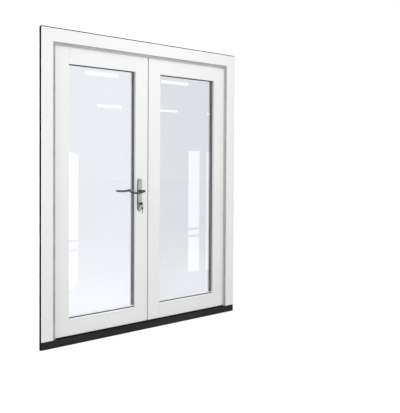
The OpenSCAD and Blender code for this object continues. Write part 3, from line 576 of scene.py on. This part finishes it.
leverShape = {"reach": 0.046, "neckRadius": 0.0088, "neckSides": 32, "armSides": 24,
              "voxel": 0.0008, "smooth": 6, "smoothing": 0.5, "outsideDip": 1.0, "insideDip": 0.35,
              # along the neck: share of the way to the arm, radius
              "neck": [(0.3, 0.0088), (0.36, 0.0072), (0.7, 0.0072), (0.84, 0.0088),
                       (1.08, 0.0088), (1.16, 0.0070), (1.19, 0.0045)],
              # along the arm: share of its length, drop, step outwards, half height, half thickness
              "arm": [(0.0, 0.0, 0.0, 0.0078, 0.0078), (0.09, -0.004, 0.0005, 0.0076, 0.0072),
                      (0.2, -0.0098, 0.0015, 0.0074, 0.0064), (0.34, -0.0122, 0.0018, 0.0072, 0.0060),
                      (0.52, -0.0118, 0.0012, 0.0070, 0.0057), (0.72, -0.0092, 0.0006, 0.0067, 0.0055),
                      (0.87, -0.0048, -0.001, 0.0063, 0.0053), (0.955, -0.0012, -0.003, 0.0054, 0.0050)]}


def makeNeck(pieceName, root, armY, handleZ):
    selectNothing()
    bpy.ops.mesh.primitive_circle_add(vertices=leverShape["neckSides"], radius=leverShape["neckRadius"],
                                      fill_type="NGON", location=(lockX, root, handleZ),
                                      rotation=(math.pi / 2, 0, 0))
    neck = bpy.context.object
    neck.name = pieceName
    bpy.ops.object.mode_set(mode="EDIT")
    bpy.ops.mesh.select_mode(type="FACE")
    bpy.ops.mesh.select_all(action="SELECT")
    here = root
    for share, radius in leverShape["neck"]:
        there = root + (armY - root) * share
        bpy.ops.mesh.extrude_region_move(TRANSFORM_OT_translate={"value": (0, there - here, 0)})
        bpy.ops.object.mode_set(mode="OBJECT")
        picked = [v for v in neck.data.vertices if v.select]
        middle = neck.matrix_world @ (sum((v.co for v in picked), Vector()) / len(picked))
        factor = radius / (neck.matrix_world @ picked[0].co - middle).length
        bpy.ops.object.mode_set(mode="EDIT")
        bpy.ops.transform.resize(value=(factor, 1, factor), center_override=middle)
        here = there
    bpy.ops.mesh.select_all(action="DESELECT")
    bpy.ops.object.mode_set(mode="OBJECT")
    return neck


def makeArm(length, dip, armY, away, handleZ):
    stations = [(share, drop * dip, *rest) for share, drop, *rest in leverShape["arm"]]
    rings = []
    for k, (share, drop, step, tall, thick) in enumerate(stations):
        before, after = stations[max(k - 1, 0)], stations[min(k + 1, len(stations) - 1)]
        slope = math.atan2(after[1] - before[1], (after[0] - before[0]) * length)
        selectNothing()
        place = (lockX - share * length, armY + away * step, handleZ + drop)
        bpy.ops.mesh.primitive_circle_add(vertices=leverShape["armSides"], radius=1, fill_type="NOTHING",
                                          location=place, rotation=(0, math.pi / 2 + slope, 0))
        ring = bpy.context.object
        ring.scale = (tall, thick, 1)
        rings.append(ring)
    only(rings[0])
    for ring in rings:
        ring.select_set(True)
    bpy.ops.object.join()
    bpy.ops.object.mode_set(mode="EDIT")
    bpy.ops.mesh.select_all(action="SELECT")
    bpy.ops.mesh.bridge_edge_loops()
    bpy.ops.mesh.select_all(action="DESELECT")
    bpy.ops.mesh.select_mode(type="EDGE")
    bpy.ops.mesh.select_non_manifold()
    bpy.ops.mesh.edge_face_add()      # closes both ends
    bpy.ops.mesh.select_all(action="SELECT")
    bpy.ops.mesh.normals_make_consistent(inside=False)
    bpy.ops.mesh.select_all(action="DESELECT")
    bpy.ops.object.mode_set(mode="OBJECT")
    return bpy.context.object


def makeLever(nodeName, pieceName):
    outside = nodeName == "lever_outside"
    low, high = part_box(nodeName)
    spindleLow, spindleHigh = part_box("spindle")
    handleZ = (spindleLow.z + spindleHigh.z) / 2
    away = -1 if outside else 1
    armY = (plateLow.y if outside else insideFace) + away * leverShape["reach"]
    neck = makeNeck(pieceName, high.y if outside else low.y, armY, handleZ)
    dip = leverShape["outsideDip" if outside else "insideDip"]
    arm = makeArm(lockX - low.x, dip, armY, away, handleZ)
    neck.select_set(True)
    arm.select_set(True)
    bpy.context.view_layer.objects.active = neck
    bpy.ops.object.join()
    bpy.ops.object.transform_apply(location=True, rotation=True, scale=True)
    piece = bpy.context.object
    bpy.ops.object.mode_set(mode="EDIT")
    bpy.ops.mesh.select_all(action="SELECT")
    bpy.ops.mesh.normals_make_consistent(inside=False)
    bpy.ops.object.mode_set(mode="OBJECT")
    piece.data.remesh_voxel_size = leverShape["voxel"]      # grows neck and arm into one skin
    bpy.ops.object.voxel_remesh()
    modifier = piece.modifiers.new("smoothing", "SMOOTH")
    modifier.factor = leverShape["smoothing"]
    modifier.iterations = leverShape["smooth"]
    bpy.ops.object.modifier_apply(modifier=modifier.name)
    bpy.ops.object.shade_smooth()
    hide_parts(nodeName)
    dress(piece, "leverSteel", "handle")


makeLever("lever_outside", "leverOutside")
makeLever("lever_inside", "leverInside")
print("levers made")


ringShape = {"round": 72, "across": 12}


def makeRing():
    low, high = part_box("key_ring")
    wire = (high.y - low.y) / 2
    selectNothing()
    bpy.ops.mesh.primitive_torus_add(location=(low + high) / 2, rotation=(math.pi / 2, 0, 0),
                                     major_segments=ringShape["round"], minor_segments=ringShape["across"],
                                     major_radius=(high.z - low.z) / 2 - wire, minor_radius=wire)
    piece = bpy.context.object
    piece.name = "splitRing"
    bpy.ops.object.transform_apply(location=True, rotation=True, scale=True)
    bpy.ops.object.shade_smooth()
    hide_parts("key_ring")
    dress(piece, "keySteel", "key")


makeRing()

keptFinish = {"frame_seal": "wedgeSealPaintedShade", "meeting_seal": "paleSeal"}
for nodeName in ("spindle", "lock_case", "lock_cover", "lock_pinion", "upper_rod", "lower_rod",
                 "handle_screws", "frame_hinge_screws", "passive_top_bolt", "passive_bottom_bolt"):
    keptFinish[nodeName] = "zincSteel"
for leaf in ("active", "passive"):
    keptFinish.update({leaf + "_panes": "glass", leaf + "_spacer": "spacer",
                       leaf + "_glazing_seals": "blackSeal", leaf + "_setting_blocks": "blocks",
                       leaf + "_bottom_seal": "blackSeal", leaf + "_hinge_screws": "zincSteel"})
for nodeName, finish in keptFinish.items():
    mesh = frame["nodes"][nodeName].data
    mesh.materials.clear()
    mesh.materials.append(finishes[finish])
plain = [n for n, o in frame["nodes"].items() if not o.hide_render and n not in keptFinish]
print("kept shapes finished, left plain:", plain)

studio = {"floor": 0.9, "floorGlow": 0.31, "floorSize": 60, "floorGap": 0.0005, "skySeen": 1.07,
          # light from the sky: an even part, a part that grows towards one side, and that side
          "even": 0.48, "slanted": 0.54, "from": (0.50, -0.70, 0.51),
          # what rough metal mirrors, and what the glass mirrors where no card stands
          "glossEven": 0.30, "glossSlanted": 0.42, "glossFrom": (0.45, -0.60, 0.66), "sharp": 0.12}


def makeFloor():
    selectNothing()
    bpy.ops.mesh.primitive_plane_add(size=studio["floorSize"],
                                     location=(0, 0, cadLow.z - studio["floorGap"]))
    floor = bpy.context.object
    floor.name = "studioFloor"
    finish, tree, shader = newFinish("floorPaper", (studio["floor"],) * 3, 0.9)
    shader.inputs["Specular IOR Level"].default_value = 0.0
    shader.inputs["Emission Color"].default_value = (1, 1, 1, 1)
    shader.inputs["Emission Strength"].default_value = studio["floorGlow"]
    floor.data.materials.append(finish)
    floor.visible_glossy = False
    floor.visible_diffuse = False


def frontAndBackAlike(tree, direction):      # a direction from behind reads as the same one from the front
    parts = tree.nodes.new("ShaderNodeSeparateXYZ")
    whole = tree.nodes.new("ShaderNodeCombineXYZ")
    towards = tree.nodes.new("ShaderNodeMath")
    towards.operation = "ABSOLUTE"
    away = tree.nodes.new("ShaderNodeMath")
    away.operation = "MULTIPLY"
    away.inputs[1].default_value = -1.0
    tree.links.new(direction, parts.inputs["Vector"])
    tree.links.new(parts.outputs["Y"], towards.inputs[0])
    tree.links.new(towards.outputs[0], away.inputs[0])
    tree.links.new(parts.outputs["X"], whole.inputs["X"])
    tree.links.new(away.outputs[0], whole.inputs["Y"])
    tree.links.new(parts.outputs["Z"], whole.inputs["Z"])
    return whole.outputs["Vector"]


def slantedLight(tree, direction, even, slanted, side):
    turn = tree.nodes.new("ShaderNodeVectorMath")
    turn.operation = "DOT_PRODUCT"
    turn.inputs[1].default_value = Vector(side).normalized()
    tree.links.new(direction, turn.inputs[0])
    level = tree.nodes.new("ShaderNodeMath")
    level.operation = "MULTIPLY_ADD"
    level.inputs[1].default_value = slanted
    level.inputs[2].default_value = even
    tree.links.new(turn.outputs["Value"], level.inputs[0])
    return level.outputs[0]


def choose(tree, switch, first, second):
    node = tree.nodes.new("ShaderNodeMix")
    for socket, value in (("A", first), ("B", second)):
        if isinstance(value, float):
            node.inputs[socket].default_value = value
        else:
            tree.links.new(value, node.inputs[socket])
    tree.links.new(switch, node.inputs["Factor"])
    return node.outputs["Result"]


def makeSky():
    world = bpy.data.worlds.new("studioSky")
    scene.world = world
    world.use_nodes = True
    tree = world.node_tree
    background = tree.nodes["Background"]
    background.inputs["Color"].default_value = (1, 1, 1, 1)
    rays = tree.nodes.new("ShaderNodeLightPath")
    direction = frontAndBackAlike(tree, tree.nodes.new("ShaderNodeTexCoord").outputs["Generated"])
    fill = slantedLight(tree, direction, studio["even"], studio["slanted"], studio["from"])
    gloss = slantedLight(tree, direction, studio["glossEven"], studio["glossSlanted"], studio["glossFrom"])
    mirrorLevel = choose(tree, rays.outputs["Is Singular Ray"], gloss, studio["sharp"])
    strength = choose(tree, rays.outputs["Is Glossy Ray"], fill, mirrorLevel)
    tree.links.new(choose(tree, rays.outputs["Is Camera Ray"], strength, studio["skySeen"]),
                   background.inputs["Strength"])


lights = {
    "topSoftbox": {"place": (0.1, -1.7, 3.0), "target": (0.0, 0.0, 1.9), "size": (1.0, 0.8), "power": 11},
    "rightSoftbox": {"place": (4.2, -0.4, 1.6), "target": (-1.0, 0.0, 0.3), "size": (1.2, 1.2), "power": 18},
    "edgeStrip": {"place": (-3.5, 0.12, 1.2), "target": (-0.9, 0.0, 1.1), "size": (2.6, 0.25), "power": 95},
    "frontSoftbox": {"place": (0.1, -2.6, 1.5), "target": (0.1, 0.0, 1.3), "size": (0.8, 1.6), "power": 12}}


def areaLight(name, place, target, size, power):
    selectNothing()
    aim = (Vector(target) - Vector(place)).to_track_quat("-Z", "Y").to_euler()
    bpy.ops.object.light_add(type="AREA", location=place, rotation=aim)
    light = bpy.context.object
    light.name = name
    light.data.shape = "RECTANGLE"
    light.data.size, light.data.size_y = size
    light.data.energy = power
    light.visible_camera = False
    light.visible_glossy = False


makeFloor()
makeSky()
for name, setup in lights.items():
    areaLight(name, **setup)
print("studio lit")

mirrored = {"wall": -9.0, "behind": 0.3, "glassY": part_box("active_panes")[0].y, "tone": (0.94, 0.96, 1.0)}
# what shows in the glass, by its place on it: left, right, low, high, then its brightness,
# and how far its left side runs on below and above
mirrorPatches = {
    "leftTube": (-0.533, -0.254, 1.819, 1.845, 3.0, 0, 0),
    "leftTubeLow": (-0.434, -0.227, 1.603, 1.623, 3.0, 0, 0),
    "leftWindow": (-0.70, -0.588, 0.40, 0.617, 2.4, 0.058, 0),
    "leftWindowMiddle": (-0.70, -0.588, 0.633, 0.678, 2.4, 0, 0),
    "leftWindowTop": (-0.70, -0.588, 0.694, 1.27, 2.4, 0, 0.032),
    "rightTube": (0.146, 0.421, 1.817, 1.839, 3.0, 0, 0),
    "rightTubeLow": (0.10, 0.308, 1.604, 1.618, 2.6, 0, 0),
    "rightTubeFar": (0.629, 0.72, 1.604, 1.619, 2.4, 0, 0),
    "rightWindow": (0.428, 0.547, 0.366, 0.637, 1.5, 0, 0),
    "rightWindowMiddle": (0.428, 0.547, 0.653, 0.692, 1.5, 0, 0),
    "rightWindowTop": (0.428, 0.547, 0.708, 1.313, 1.5, 0, 0),
    "rightWindowFar": (0.624, 0.70, 0.366, 1.307, 1.5, 0, 0)}
brightWall = {"left": -0.80, "right": 0.0, "low": 0.0, "high": 2.1, "below": 0.84, "above": 0.80}


def mirrorBack(x, z, away):      # what stands at that depth and shows at this place on the glass
    eye = Vector(cameraSetup["place"])
    spot = Vector((x, mirrored["glassY"], z))
    ray = spot - eye
    ray.y = -ray.y
    return spot + ray * ((away - mirrored["glassY"]) / ray.y)


def cornersBack(left, right, low, high, away, runDown=0, runUp=0):
    return {(False, False): mirrorBack(left, low - runDown, away),
            (False, True): mirrorBack(left, high + runUp, away),
            (True, False): mirrorBack(right, low, away),
            (True, True): mirrorBack(right, high, away)}


def makeMirrored(name, corners, below, above):
    selectNothing()
    bpy.ops.mesh.primitive_plane_add(size=1, location=(0, 0, 0), rotation=(math.pi / 2, 0, 0))
    card = bpy.context.object
    card.name = name
    bpy.ops.object.transform_apply(location=True, rotation=True, scale=True)
    for vertex in card.data.vertices:
        vertex.co = corners[(vertex.co.x > 0, vertex.co.z > 0)]
    finish = bpy.data.materials.new(name)
    finish.use_nodes = True
    tree = finish.node_tree
    glow = tree.nodes.new("ShaderNodeEmission")
    glow.inputs["Color"].default_value = (*mirrored["tone"], 1)
    height = tree.nodes.new("ShaderNodeSeparateXYZ")
    tree.links.new(placeNode(tree), height.inputs["Vector"])
    bottom, top = min(c.z for c in corners.values()), max(c.z for c in corners.values())
    tree.links.new(spread(tree, height.outputs["Z"], below, above, bottom, top), glow.inputs["Strength"])
    tree.links.new(glow.outputs[0], tree.nodes["Material Output"].inputs["Surface"])
    card.data.materials.append(finish)
    card.visible_camera = card.visible_diffuse = card.visible_shadow = False
    card.visible_transmission = False


for name, (left, right, low, high, strength, runDown, runUp) in mirrorPatches.items():
    patchCorners = cornersBack(left, right, low, high, mirrored["wall"], runDown, runUp)
    makeMirrored(name, patchCorners, strength, strength)
wallCorners = cornersBack(*(brightWall[side] for side in ("left", "right", "low", "high")),
                          mirrored["wall"] - mirrored["behind"])
makeMirrored("brightWall", wallCorners, brightWall["below"], brightWall["above"])
print("mirrored room made")
